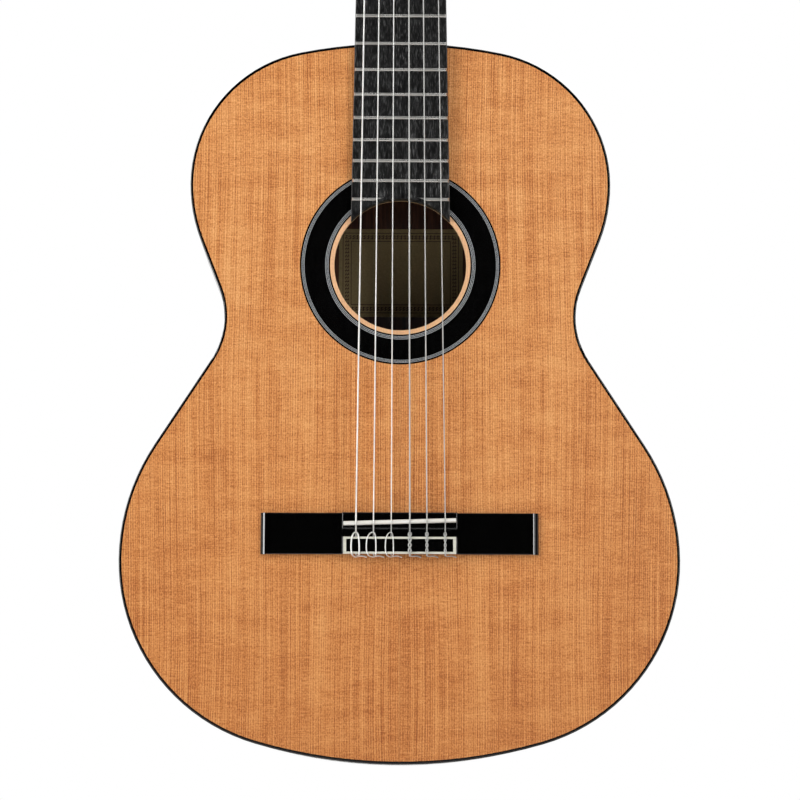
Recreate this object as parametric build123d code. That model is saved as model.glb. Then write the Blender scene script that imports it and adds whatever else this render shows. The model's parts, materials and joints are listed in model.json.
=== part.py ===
"""Classical guitar, 650 mm scale, slotted head with six worm-driven machines. Millimetres.

Every piece is laid out as it lies on the bench: X to the treble side, Y from the tail up the neck,
Z out of the soundboard, and the origin where the centre line meets the tail on the soundboard's face.
save() then stands the piece up, so that the neck points to +Z and the soundboard faces -Y.
"""

import os
from math import acos, atan2, cos, degrees, hypot, pi, radians, sin, sqrt, tan

from build123d import *

# Body outline: widths, and how far up the body each of them lies
body_length = 490.0
lower_bout = 375.6
waist = 237.6
upper_bout = 285.6
lower_bout_place = 0.2775
waist_place = 0.6125
upper_bout_place = 0.80
waist_radius = 54.0
tail_corner_share = 0.937      # corner arc's radius, as a share of the way from tail to widest point
shoulder_corner_share = 0.949  # the same at the shoulders
lower_flank_share = 0.852      # how full the flanks are between the bouts and the waist
upper_flank_share = 0.862

# Box
tail_depth = 98.0
shoulder_depth = 92.0
back_dome_radius = 4570.0
soundboard_thickness = 2.5
back_thickness = 2.5
rib_thickness = 2.0            # the bindings are let in to the ribs' full thickness
binding_height = 5.0
binding_rounding = 0.9
lining_width = 5.0
lining_height = 14.0
end_graft_width = 8.0
block_width = 70.0
block_thickness = 16.0

# Soundhole, rosette and bars
soundhole_drop = 154.3         # from the end of the body down to the soundhole's centre
soundhole_radius = 44.7
rosette_radii = (47.6, 48.2, 51.3, 64.5, 67.2, 68.0)
rosette_depth = 1.2
patch_radius = 64.0
patch_thickness = 1.5
bar_width = 7.0
bar_height = 16.0
bar_gap = 70.0                 # from the soundhole's centre to each harmonic bar
fan_count = 7
fan_width = 5.0
fan_height = 4.0
fan_spread = 22.0              # between neighbouring braces at the bridge
fan_slope = 2.6                # degrees turned from one brace to the next
fan_bar_gap = 4.0              # between the fan and the harmonic bar above it
fan_end_gap = 6.0              # between the fan and the linings and tail block
back_brace_places = (75.0, 190.0, 265.0)
back_brace_drop = 70.0         # from the end of the body down to the uppermost back brace
back_brace_width = 6.0
back_brace_height = 15.0
label_width = 88.0
label_length = 63.0
label_thickness = 0.4
label_shift = (1.0, 11.3)      # from the soundhole's centre

# Neck and fingerboard
scale_length = 650.0
joint_offset = 2.0             # the twelfth fret lies this far inside the end of the body
nut_width = 52.0
twelfth_width = 63.0
board_thickness_nut = 7.0
board_thickness_end = 5.5
board_edge = 0.7
fret_count = 19
fret_width = 2.4
fret_height = 1.0
fret_tang_width = 0.6
fret_tang_depth = 1.6
fret_inset = 0.4
fret_bevel_share = 0.8         # the ends slope over this share of the fret's height
fret_hole_gap = 2.0            # between the last fret's halves and the soundhole's rim
nut_thickness = 5.0
nut_height = 9.0
nut_rounding = 3.0
neck_depth_nut = 15.5
neck_depth_heel = 17.5
heel_reach_top = 58.0
heel_reach_cap = 15.0
heel_width_cap = 27.0
heel_cap_thickness = 3.0
heel_root = 12.0               # how far inside the body's end the heel's slices start
heel_slices = 6
heel_taper = 1.6               # 1 would narrow evenly from fingerboard to cap
foot_width = 60.0
foot_length = 28.0
foot_toe_length = 58.0
foot_toe_height = 17.0
rib_slot_core = 12.0           # wood left between the two ribs' slots

# Headstock
head_tilt = 15.0
head_width = 73.0
head_length = 182.0
head_thickness = 18.0
veneer_thickness = 2.2
head_shoulder = 20.0
head_root = 2.0                # the head keeps the nut's width this far
head_waist_share = 0.6         # how much of the widening is done half way up the shoulder
head_blend = 30.0              # the neck's roundness runs out into the head's flat back here
head_crest = 30.0              # from the sides' upper end to the tip
head_corner = 7.5              # width lost on each side at the crest's corner
head_corner_rise = 14.4
head_ogee = 1.45               # hollow of the curve below that corner
head_crown_share = 0.566
slot_width = 15.5
slot_rib = 15.0
slot_start = 22.0
slot_length = 108.0
ramp_reach = 9.0               # how far the strings' ramp runs out beyond the slot's end
roller_places = (42.0, 77.0, 112.0)

# Bridge
bridge_width = 186.0
bridge_behind_saddle = 21.3
bridge_length = 27.8
wing_thickness = 3.6
wing_rounding = (5.0, 2.6)     # each wing's end curves down over this length, by this much
wing_edge = 0.5
tie_block_width = 77.0
tie_block_length = 11.4
tie_block_rise = 5.4           # above the wings
block_edge = 0.8               # rounding of the raised block's ends and front
channel_length = 6.0
string_hole_radius = 1.0
string_hole_rise = 1.4         # above the wings
mouth_gap = 0.9                # string leaves its hole this far ahead of the tie block before it rises
tail_gap = 1.2                 # between the strings and the tie block's rear face
trim_thickness = 1.3
trim_strip = 1.4
trim_end = 2.0
trim_margin = 0.9              # wood left at each end of the trim
compensation = 2.5             # saddle set back beyond the scale length
saddle_thickness = 2.8
saddle_length = 75.0
saddle_slant = 1.7
saddle_rise = 3.1              # above the tie block
saddle_slot_depth = 4.8

# Strings, from the treble e to the bass E
string_count = 6
string_diameters = (0.71, 0.82, 1.02, 0.74, 0.89, 1.09)
string_span_nut = 43.0
string_span_saddle = 59.0
nut_clearance = 0.4            # string above the line of the frets, at the nut
nut_bearing = 1.2              # where the string turns down, behind the nut's front face
slot_side_gap = 0.05
touch = 0.02                   # hairline left under a string where it bears
loop_bend = 1.6
mouth_bend = 1.2
nut_turn = 3.0

# Machines
running = 0.05                 # radial clearance of a turning shaft
roller_radius = 5.0
roller_depth = 9.0             # axis below the wood's face
pivot_length = 5.0
bore_end_gap = 0.3
spindle_radius = 2.0
landings = (20.0, 15.5, 12.5)  # where the outer, middle and inner strings meet their rollers
landing_angle = 8.0            # degrees short of the roller's front at which the string touches it
winding_turns = 3
winding_pitch = 1.02           # as a share of the string's diameter
winding_bite = 0.05            # how deep each winding presses into the sleeve
landing_gap = 0.3              # hairline between the string's end and its windings
sleeve_gap = 0.1
axle_screw_radius = 1.0
axle_screw_length = 3.6
gear_teeth = 14
gear_pitch_radius = 6.0
gear_addendum = 0.35
gear_dedendum = 0.8
tooth_tip_share = 0.14         # of the axial pitch
tooth_root_share = 0.594
gear_width = 4.5
worm_pitch_radius = 2.4
worm_eccentricity = 0.6
worm_length = 8.2
worm_shaft_radius = 1.6
plate_thickness = 1.2
plate_width = 14.0
plate_margin = 19.0
plate_extra = 2.0              # the plate runs this much farther at the tip's end
lug_thickness = 2.4
lug_width = 6.0
gear_gap = 1.1                 # between plate and cog
lug_gap = 0.25                 # between worm and lug
lug_reach = 3.2                # beyond the worm's axis
lug_rounding = 2.6
button_start = 3.2             # behind the head's rear face
button_size = (7.6, 17.0, 13.0)
button_rounding_share = 0.36
button_seat = 0.4              # flat ground on the button for the collar
button_grip = 8.0              # how deep the shaft goes into the button
shaft_end = 0.6                # beyond the far lug
collar_radius = 3.0
collar_length = 2.6
screw_radius = 1.2
screw_length = 10.0
screw_head_radius = 2.5
screw_head_height = 1.4
screw_shift = 2.0              # screws between two machines lie this far from the middle
screw_slot_width = 0.8
screw_slot_depth = 0.7
end_screw_shift = 4.0          # the last screw lies this much farther out than the first

# Working values
spare = 1.0                    # how far a cutter reaches past what it cuts
wide = 300.0                   # wider and longer than whatever a cutting block has to cover

# Derived places
twelfth_place = body_length - joint_offset
nut_place = twelfth_place + scale_length / 2
head_place = nut_place + nut_thickness
soundhole_place = body_length - soundhole_drop
hole_centre = (0, soundhole_place)
saddle_place = twelfth_place - scale_length / 2 - compensation
bridge_rear = saddle_place - bridge_behind_saddle
bridge_front = bridge_rear + bridge_length
tie_block_front = bridge_rear + tie_block_length
tie_block_height = wing_thickness + tie_block_rise
string_hole_height = wing_thickness + string_hole_rise
saddle_top = tie_block_height + saddle_rise
saddle_slot_floor = tie_block_height - saddle_slot_depth
trim_width = tie_block_width - 2 * trim_margin
deep = 2 * tail_depth
inner_inset = rib_thickness + lining_width
lining_floor = soundboard_thickness + lining_height
axial_pitch = 2 * pi * gear_pitch_radius / gear_teeth
worm_offset = gear_pitch_radius + worm_pitch_radius
gear_tip_radius = gear_pitch_radius + gear_addendum
gear_root_radius = gear_pitch_radius - gear_dedendum
button_top = -(head_thickness - roller_depth + button_start)
plate_face = head_width / 2 + plate_thickness
gear_start = plate_face + gear_gap
gear_end = gear_start + gear_width
worm_x = gear_start + gear_width / 2


def save(name, shape):
    """Stand the piece up and write it."""
    os.makedirs("parts", exist_ok=True)
    solids = (Rot(90, 0, 0) * shape).solids()
    export_step(Compound(children=list(solids)) if len(solids) > 1 else solids[0], f"parts/{name}.step")


def box(x, y, z):
    """A block between two values of each coordinate."""
    size = [high - low for low, high in (x, y, z)]
    middle = [(high + low) / 2 for low, high in (x, y, z)]
    return Pos(*middle) * Box(*size)


def upright(radius, z, centre=hole_centre):
    """A round bar along Z."""
    return Pos(centre[0], centre[1], (z[0] + z[1]) / 2) * Cylinder(radius, z[1] - z[0])


def side_profile(points, half_width):
    """A solid with the given outline in Y and Z, reaching the same way to both sides of the centre line."""
    face = Plane.YZ * Polygon(*points, align=None)
    return extrude(face, half_width, both=True)


# ---------------------------------------------------------------- body outline


def outline_arcs():
    """The right half of the outline as (centre, radius, first angle, last angle, swells outwards)."""
    y_low, y_waist, y_up = (body_length * p for p in (lower_bout_place, waist_place, upper_bout_place))
    low, narrow, up = lower_bout / 2, waist / 2, upper_bout / 2

    def flank(width, height, share):
        """Radius above or below a bout that leaves a straight flank to the waist arc."""
        drop = width - narrow
        return share * (drop * drop + height * height) / (2 * drop) - waist_radius

    def closing(reach, height, corner):
        """Radius of the end arc, centred on the centre line, that the corner arc runs into."""
        return ((reach - corner) ** 2 + height**2 - corner**2) / (2 * (height - corner))

    def tangent(centre, radius, side):
        """Angle at which the straight flank leaves a bout's arc towards the waist's arc."""
        ux, uy = narrow + waist_radius - centre[0], y_waist - centre[1]
        return degrees(atan2(uy, ux) - side * acos((radius + waist_radius) / hypot(ux, uy)))

    corner_low = tail_corner_share * y_low
    tail = closing(low, y_low, corner_low)
    flank_low = flank(low, y_waist - y_low, lower_flank_share)
    flank_up = flank(up, y_up - y_waist, upper_flank_share)
    y_top = body_length - y_up
    corner_up = shoulder_corner_share * y_top
    shoulder = closing(up, y_top, corner_up)

    tail_turn = degrees(atan2(y_low - tail, low - corner_low))
    shoulder_turn = degrees(atan2(y_up - body_length + shoulder, up - corner_up))
    leave_low = tangent((low - flank_low, y_low), flank_low, 1)
    leave_up = tangent((up - flank_up, y_up), flank_up, -1)
    return [
        ((0, tail), tail, -90, tail_turn, True),
        ((low - corner_low, y_low), corner_low, tail_turn, 0, True),
        ((low - flank_low, y_low), flank_low, 0, leave_low, True),
        ((narrow + waist_radius, y_waist), waist_radius, leave_low + 180, leave_up + 180, False),
        ((up - flank_up, y_up), flank_up, leave_up, 0, True),
        ((up - corner_up, y_up), corner_up, 0, shoulder_turn, True),
        ((0, body_length - shoulder), shoulder, shoulder_turn, 90, True),
    ]


def outline_face(inset):
    """The body's plan, drawn in by the same amount all round."""
    edges = []
    last = None
    for centre, radius, first_angle, last_angle, swells in outline_arcs():
        r = radius - inset if swells else radius + inset
        at = [Vector(centre[0] + r * cos(radians(a)), centre[1] + r * sin(radians(a)), 0)
              for a in (first_angle, (first_angle + last_angle) / 2, last_angle)]
        if last is None:
            at[0] = Vector(0, at[0].Y, 0)
        elif (at[0] - last).length > 0.01:
            edges.append(Line(last, at[0]))
        else:
            at[0] = last
        edges.append(ThreePointArc(*at))
        last = at[2]
    mirrored = [edge.mirror(Plane.YZ) for edge in edges]
    return make_face(edges + mirrored)


outlines = {}


def plan(inset, low, high):
    """The body's plan at an inset, as a solid between two heights."""
    if inset not in outlines:
        outlines[inset] = outline_face(inset)
    return Pos(0, 0, low) * extrude(outlines[inset], high - low, dir=(0, 0, 1))


def ring(outer, inner, low, high):
    """A closed strip that follows the outline between two insets."""
    return plan(outer, low, high) - plan(inner, low - spare, high + spare)


def within_back(offset):
    """All that lies at least this far inside the domed outer face of the back."""
    half = hypot(body_length, tail_depth - shoulder_depth) / 2
    slope = atan2(tail_depth - shoulder_depth, body_length)
    rise = sqrt(back_dome_radius**2 - half**2)
    middle = (tail_depth + shoulder_depth) / 2
    centre = (0, body_length / 2 - rise * sin(slope), rise * cos(slope) - middle)
    return Pos(*centre) * Rot(0, -90, 0) * Sphere(back_dome_radius - offset)


def box_space(inset=rib_thickness):
    """The room inside the box."""
    return plan(inset, -deep, -soundboard_thickness) & within_back(back_thickness)


# ------------------------------------------------------------------------ body


def make_soundboard():
    low = -soundboard_thickness
    plate = plan(rib_thickness, low, 0) - upright(soundhole_radius, (low - spare, spare))
    channel = (-rosette_depth, spare)
    return plate - (upright(rosette_radii[-1], channel) - upright(rosette_radii[0], channel))


def make_top_binding():
    strip = ring(0, rib_thickness, -binding_height, 0)
    rim = strip.faces().sort_by(Axis.Z)[-1].outer_wire().edges()
    return fillet(rim, binding_rounding)


def make_back_binding():
    return (ring(0, rib_thickness, -deep, 0) & within_back(0)) - within_back(binding_height)


def make_back_plate():
    return (plan(rib_thickness, -deep, 0) & within_back(0)) - within_back(back_thickness)


def rib_hoop():
    return ring(0, rib_thickness, -deep, -binding_height) & within_back(binding_height)


def make_rib(side):
    """One rib, from the end graft at the tail to its slot in the neck."""
    half = rib_hoop() & box(sorted((0, side * wide)), (-spare, body_length + spare), (-deep, 0))
    graft = box((-end_graft_width / 2, end_graft_width / 2), (-spare, body_length / 2), (-deep, 0))
    core = box((-rib_slot_core / 2, rib_slot_core / 2), (body_length / 2, body_length + spare), (-deep, 0))
    return half - graft - core


def make_end_graft():
    half = end_graft_width / 2
    return rib_hoop() & box((-half, half), (-spare, body_length / 2), (-deep, 0))


def make_tail_block():
    half = block_width / 2
    return box_space() & box((-half, half), (-spare, rib_thickness + block_thickness), (-deep, 0))


def foot_shape():
    """The neck's foot inside the body: a boot down to the back, with a toe under the soundboard."""
    profile = [
        (body_length + spare, 0),
        (body_length - foot_toe_length, 0),
        (body_length - foot_toe_length, -foot_toe_height),
        (body_length - foot_length, -foot_toe_height),
        (body_length - foot_length, -deep),
        (body_length + spare, -deep),
    ]
    return box_space() & side_profile(profile, foot_width / 2)


def make_linings():
    hoop = ring(rib_thickness, inner_inset, -deep, -soundboard_thickness) & within_back(back_thickness)
    top = hoop & plan(0, -lining_floor, 0)
    bottom = hoop - within_back(back_thickness + lining_height)
    return top + bottom - make_tail_block() - foot_shape()


def make_harmonic_bars():
    room = plan(inner_inset, -soundboard_thickness - bar_height, -soundboard_thickness)
    bars = Part()
    for side in (-1, 1):
        y = soundhole_place + side * bar_gap
        bars += room & box((-wide, wide), (y - bar_width / 2, y + bar_width / 2), (-deep, 0))
    return bars


def make_soundhole_patch():
    z = (-soundboard_thickness - patch_thickness, -soundboard_thickness)
    return upright(patch_radius, z) - upright(soundhole_radius, z)


def make_fan_braces():
    """Thin braces that spread from the lower harmonic bar to the tail."""
    top = soundhole_place - bar_gap - bar_width / 2 - fan_bar_gap
    bottom = rib_thickness + block_thickness + fan_end_gap
    middle = bridge_rear + bridge_length / 2
    room = plan(inner_inset + fan_end_gap, -soundboard_thickness - fan_height, -soundboard_thickness)
    room &= box((-wide, wide), (bottom, top), (-deep, 0))
    braces = Part()
    for i in range(fan_count):
        step = i - (fan_count - 1) / 2
        bar = box((-fan_width / 2, fan_width / 2), (-body_length, body_length), (-deep, 0))
        braces += room & (Pos(step * fan_spread, middle) * Rot(0, 0, step * fan_slope) * bar)
    return braces


def make_back_braces():
    room = plan(inner_inset, -deep, -soundboard_thickness) & within_back(back_thickness)
    room -= within_back(back_thickness + back_brace_height)
    braces = Part()
    for y in (*back_brace_places, body_length - back_brace_drop):
        braces += room & box((-wide, wide), (y, y + back_brace_width), (-deep, 0))
    return braces


def make_label():
    x, y = label_shift[0], soundhole_place + label_shift[1]
    width, length = label_width / 2, label_length / 2
    area = box((x - width, x + width), (y - length, y + length), (-deep, -deep / 4))
    return (area & within_back(back_thickness)) - within_back(back_thickness + label_thickness)


def rosette_band(inner, outer):
    z = (-rosette_depth, 0)
    return upright(rosette_radii[outer], z) - upright(rosette_radii[inner], z)


# ------------------------------------------------------------------------ neck


def board_width(y):
    return nut_width + (nut_place - y) * (twelfth_width - nut_width) / (scale_length / 2)


def board_top(y):
    run = nut_place - soundhole_place
    return board_thickness_nut - (nut_place - y) * (board_thickness_nut - board_thickness_end) / run


def fret_place(n):
    return nut_place - scale_length * (1 - 2 ** (-n / 12))


def half_ellipse(plane, half_width, depth):
    """Closed half ellipse below the plane's X axis."""
    arc = EllipticalCenterArc((0, 0), half_width, depth, start_angle=180, arc_size=180)
    return plane * make_face([arc, Line(arc @ 1, arc @ 0)])


def head_frame():
    """Placement of the head: X across, Y along the head, Z out of its wooden face."""
    return Pos(0, head_place, 0) * Rot(-head_tilt, 0, 0)


def sloped(y):
    """A plane that faces down the neck, upright on the bench."""
    return Plane(origin=(0, y, 0), x_dir=(1, 0, 0), z_dir=(0, -1, 0))


def make_heel():
    """The heel, as slices from just under the fingerboard down to the cap."""
    height = shoulder_depth - heel_cap_thickness
    top = neck_depth_heel
    wide_half = board_width(body_length) / 2
    slices = [(0, wide_half, heel_reach_top), (-top / 2, wide_half, heel_reach_top)]
    for step in range(heel_slices + 1):
        left = 1 - step / heel_slices
        z = -height + (height - top) * left
        reach = heel_reach_top - (heel_reach_top - heel_reach_cap) * sqrt(1 - left**2)
        half = heel_width_cap / 2 + (wide_half - heel_width_cap / 2) * left**heel_taper
        slices.append((z, half, reach))
    wires = []
    for z, half, reach in slices:
        plane = Plane(origin=(0, body_length - heel_root, z), x_dir=(-1, 0, 0), z_dir=(0, 0, 1))
        wires.append(half_ellipse(plane, half, reach + heel_root).face().outer_wire())
    return Solid.make_loft(wires, ruled=False)


def make_neck():
    root = body_length - heel_root
    shaft = loft([half_ellipse(sloped(root), board_width(root) / 2, neck_depth_heel),
                  half_ellipse(sloped(nut_place), nut_width / 2, neck_depth_nut),
                  half_ellipse(sloped(head_place + spare), nut_width / 2, neck_depth_nut)], ruled=True)
    beyond = head_frame() * box((-wide, wide), (0, wide), (-wide, wide))
    outside = (shaft + make_heel()) - plan(0, -deep, spare) - beyond
    half = rib_slot_core / 2
    core = box((-half, half), (body_length - foot_length, body_length + 2 * spare), (-deep, 0))
    under_binding = box((-half, half), (0, body_length + wide), (-binding_height, spare))
    core = (core & within_back(binding_height)) - under_binding
    return outside + foot_shape() + core


def make_heel_cap():
    """Thin cap on the heel's end, flush with the back."""
    height = shoulder_depth - heel_cap_thickness
    plane = Plane(origin=(0, body_length - heel_root, -height), x_dir=(-1, 0, 0), z_dir=(0, 0, 1))
    face = half_ellipse(plane, heel_width_cap / 2, heel_reach_cap + heel_root)
    return extrude(face, heel_cap_thickness, dir=(0, 0, -1)) - plan(0, -deep, spare)


def make_fingerboard():
    end = soundhole_place
    profile = [(end, 0), (nut_place, 0), (nut_place, board_thickness_nut), (end, board_thickness_end)]
    corners = [(-board_width(end) / 2, end), (board_width(end) / 2, end),
               (nut_width / 2, nut_place), (-nut_width / 2, nut_place)]
    board = side_profile(profile, wide) & extrude(Polygon(*corners, align=None), wide)
    upper = board.faces().sort_by(Axis.Z)[-1].edges()
    board = fillet(upper.filter_by(lambda edge: edge.length > nut_place - end - spare), board_edge)
    return board - upright(soundhole_radius, (-spare, wide)) - make_frets()


def make_fret(n):
    """One length of fret wire, its tang down in the board and its ends bevelled."""
    y = fret_place(n)
    slope = degrees(atan2(board_thickness_nut - board_thickness_end, nut_place - soundhole_place))
    crown = make_face([ThreePointArc((-fret_width / 2, 0), (0, fret_height), (fret_width / 2, 0)),
                       Line((fret_width / 2, 0), (-fret_width / 2, 0))])
    tang = Pos(0, -fret_tang_depth / 2) * Rectangle(fret_tang_width, fret_tang_depth)
    half = board_width(y) / 2 - fret_inset
    wire = extrude(Plane.YZ * (crown + tang), half, both=True)
    bevel = fret_height * fret_bevel_share
    ends = [(-half, -fret_tang_depth), (half, -fret_tang_depth), (half, 0), (half - bevel, fret_height),
            (bevel - half, fret_height), (-half, 0)]
    wire &= extrude(Plane.XZ * Polygon(*ends, align=None), fret_width, both=True)
    return Pos(0, y, board_top(y)) * Rot(slope, 0, 0) * wire


def make_frets():
    """All the frets; the soundhole splits the last one in two."""
    frets = Part() + [make_fret(n) for n in range(1, fret_count + 1)]
    return frets - upright(soundhole_radius + fret_hole_gap, (-spare, wide))


def string_x(n, span):
    return span / 2 - span * n / (string_count - 1)


def nut_bend(n):
    """Where the centre line of a string turns down over the nut."""
    z = board_thickness_nut + fret_height + nut_clearance + string_diameters[n] / 2
    return Vector(string_x(n, string_span_nut), nut_place + nut_bearing, z)


def make_nut():
    nut = box((-nut_width / 2, nut_width / 2), (nut_place, head_place), (0, nut_height))
    top = nut.faces().sort_by(Axis.Z)[-1].edges().filter_by(Axis.X)
    nut = fillet(top.sort_by(Axis.Y)[-1:], nut_rounding)
    nut = fillet(nut.edges().filter_by(Axis.Z), board_edge)
    for n in range(string_count):
        radius = string_diameters[n] / 2
        bend = nut_bend(n)
        half = radius + slot_side_gap
        floor = -radius - touch
        nut -= box((bend.X - half, bend.X + half), (nut_place - spare, bend.Y), (bend.Z + floor, wide))
        drop = degrees(atan2(bend.Z - landing(n).Z, landing(n).Y - bend.Y))
        slot = box((-half, half), (-nut_bearing / 2, wide), (floor - slot_side_gap, wide))
        nut -= Pos(*bend) * Rot(-drop, 0, 0) * Rot(0, 0, -side_turn(n)) * slot
    return nut


# ------------------------------------------------------------------- headstock


def head_plan(low, high, start=0.0):
    """The head's plan, as a solid between two heights over its wooden face."""
    half, root = head_width / 2, nut_width / 2
    crest = head_length - head_crest
    corner = (half - head_corner, crest + head_corner_rise)
    waist = (root + (half - root) * head_waist_share, head_shoulder / 2)
    crown = (corner[0] * head_crown_share, (corner[1] + 2 * head_length) / 3)
    right = [
        Line((0, start), (root, start)),
        Line((root, start), (root, head_root)),
        ThreePointArc((root, head_root), waist, (half, head_shoulder)),
        Line((half, head_shoulder), (half, crest)),
        ThreePointArc((half, crest), ((half + corner[0]) / 2 - head_ogee, (crest + corner[1]) / 2), corner),
        ThreePointArc(corner, crown, (0, head_length)),
    ]
    left = [edge.mirror(Plane.YZ) for edge in right]
    face = make_face(right + left)
    return Pos(0, 0, low) * extrude(face, high - low, dir=(0, 0, 1))


def head_slot(side, low, high):
    """One of the two round-ended slots, with its ramp for the strings."""
    x = side * (slot_rib + slot_width) / 2
    y = slot_start + slot_length / 2
    outline = Rot(0, 0, 90) * SlotOverall(slot_length, slot_width)
    shape = Pos(x, y, low) * extrude(outline, high - low, dir=(0, 0, 1))
    top = veneer_thickness + spare
    slope = [(slot_start - ramp_reach, top), (slot_start + ramp_reach, -roller_depth),
             (slot_start + ramp_reach, top)]
    ramp = Pos(x, 0, 0) * side_profile(slope, slot_width / 2)
    return shape + (ramp & box((-wide, wide), (0, wide), (low, high)))


def roller_bores(side):
    """The round holes that the rollers turn in."""
    holes = Part()
    inner = slot_rib / 2 - pivot_length - bore_end_gap
    run = head_width / 2 + spare - inner
    for place in roller_places:
        centre = Pos(side * (inner + run / 2), place, -roller_depth)
        holes += centre * Rot(0, 90, 0) * Cylinder(roller_radius + running, run)
    return holes


def screw_places():
    """Along the head: one screw beyond each end machine, and one between each two machines."""
    first, second, third = roller_places
    gap = (second - first) / 2 - screw_shift
    return (first - gap, first + gap, second + gap, third + gap + end_screw_shift)


def make_headstock():
    wood = head_plan(-head_thickness, 0)
    depth = neck_depth_nut / cos(radians(head_tilt))
    blend = loft([half_ellipse(sloped(0), nut_width / 2, depth),
                  half_ellipse(sloped(head_blend), head_width, depth + 2 * head_thickness)], ruled=True)
    wood &= blend + box((-wide, wide), (head_blend - touch, wide), (-wide, 0))
    length = screw_length - plate_thickness
    for side in (-1, 1):
        wood -= head_slot(side, -head_thickness - spare, spare)
        wood -= roller_bores(side)
        for place in screw_places():
            hole = Pos(side * (head_width - length) / 2, place, -roller_depth)
            wood -= hole * Rot(0, 90, 0) * Cylinder(screw_radius, length)
    return head_frame() * wood


def make_head_veneer():
    veneer = head_plan(0, veneer_thickness, start=-veneer_thickness)
    for side in (-1, 1):
        veneer -= head_slot(side, -spare, veneer_thickness + spare)
    return (head_frame() * veneer) - box((-wide, wide), (0, head_place), (-wide, wide))


# ---------------------------------------------------------------------- bridge


def rounded_top(width, height, radius):
    """Upright rectangle standing on the X axis, with its two upper corners rounded."""
    shape = Pos(0, height / 2) * Rectangle(width, height)
    return fillet(shape.vertices().group_by(Axis.Y)[-1], radius)


def make_bridge():
    middle = (bridge_rear + bridge_front) / 2
    half, shoulder = bridge_width / 2, bridge_width / 2 - wing_rounding[0]
    edge = wing_thickness - wing_rounding[1]
    right = [Line((0, wing_thickness), (shoulder, wing_thickness)),
             TangentArc((shoulder, wing_thickness), (half, edge), tangent=(1, 0)),
             Line((half, edge), (half, 0)),
             Line((half, 0), (0, 0))]
    long_view = make_face(right + [line.mirror(Plane.YZ) for line in right])
    wings = extrude(Plane.XZ * long_view, wide, both=True)
    wing_section = Pos(middle, 0) * rounded_top(bridge_length, wing_thickness, wing_edge)
    wings &= extrude(Plane.YZ * wing_section, wide, both=True)

    section = Pos(middle, tie_block_height / 2) * Rectangle(bridge_length, tie_block_height)
    section = fillet(section.vertices().group_by(Axis.Y)[-1].sort_by(Axis.X)[-1:], block_edge)
    channel = Pos(tie_block_front + channel_length / 2, wing_thickness + tie_block_height / 2)
    section -= channel * Rectangle(channel_length, tie_block_height)
    block = extrude(Plane.XZ * rounded_top(tie_block_width, tie_block_height, block_edge), wide, both=True)
    bridge = wings + (block & extrude(Plane.YZ * section, wide, both=True))

    slot = box((-saddle_length / 2, saddle_length / 2), (-saddle_thickness / 2, saddle_thickness / 2),
               (saddle_slot_floor, wide))
    bridge -= Pos(0, saddle_place, 0) * Rot(0, 0, saddle_slant) * slot
    for n in range(string_count):
        hole = Pos(string_x(n, string_span_saddle), (bridge_rear + tie_block_front) / 2, string_hole_height)
        bridge -= hole * Rot(90, 0, 0) * Cylinder(string_hole_radius, tie_block_length + 2 * spare)
    return bridge - make_trim()


def make_trim():
    """Bone frame let in to the top of the tie block."""
    z = (tie_block_height - trim_thickness, tie_block_height)
    half = trim_width / 2
    frame = box((-half, half), (bridge_rear, tie_block_front), z)
    opening = (bridge_rear + trim_strip, tie_block_front - trim_strip)
    return frame - box((trim_end - half, half - trim_end), opening, (0, wide))


def make_saddle():
    half, crown = saddle_length / 2, saddle_thickness / 2
    shoulder = saddle_top - crown
    face = make_face([Line((-crown, shoulder), (-crown, saddle_slot_floor)),
                      Line((-crown, saddle_slot_floor), (crown, saddle_slot_floor)),
                      Line((crown, saddle_slot_floor), (crown, shoulder)),
                      ThreePointArc((crown, shoulder), (0, saddle_top), (-crown, shoulder))])
    return Pos(0, saddle_place, 0) * Rot(0, 0, saddle_slant) * extrude(Plane.YZ * face, half, both=True)


# --------------------------------------------------------------------- strings


def rounded_route(points, radii):
    """A line through points with each corner rounded by a tangent arc."""
    route = []
    start = points[0]
    for before, corner, after, radius in zip(points, points[1:], points[2:], radii):
        come, leave = (corner - before).normalized(), (after - corner).normalized()
        turn = come.get_angle(leave)
        cut = radius * tan(radians(turn / 2))
        inward = (leave - come).normalized()
        first, last = corner - come * cut, corner + leave * cut
        middle = corner + inward * (radius / cos(radians(turn / 2)) - radius)
        route += [Line(start, first), ThreePointArc(first, middle, last)]
        start = last
    return Wire(route + [Line(start, points[-1])])


def station(n):
    """Side of the head and roller that a string goes to: e and E nearest the nut, g and D farthest."""
    side = 1 if n < string_count / 2 else -1
    return side, n if side > 0 else string_count - 1 - n


def landing(n):
    """Where the string's centre line touches its roller."""
    side, order = station(n)
    reach = roller_radius + string_diameters[n] / 2 + landing_gap
    angle = radians(landing_angle)
    y = roller_places[order] - reach * sin(angle)
    spot = head_frame() * Pos(side * landings[order], y, reach * cos(angle) - roller_depth)
    return Vector(spot.position)


def side_turn(n):
    """Degrees that a string turns sideways behind the nut."""
    bend, end = nut_bend(n), landing(n)
    return degrees(atan2(end.X - bend.X, hypot(end.Y - bend.Y, end.Z - bend.Z)))


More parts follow.
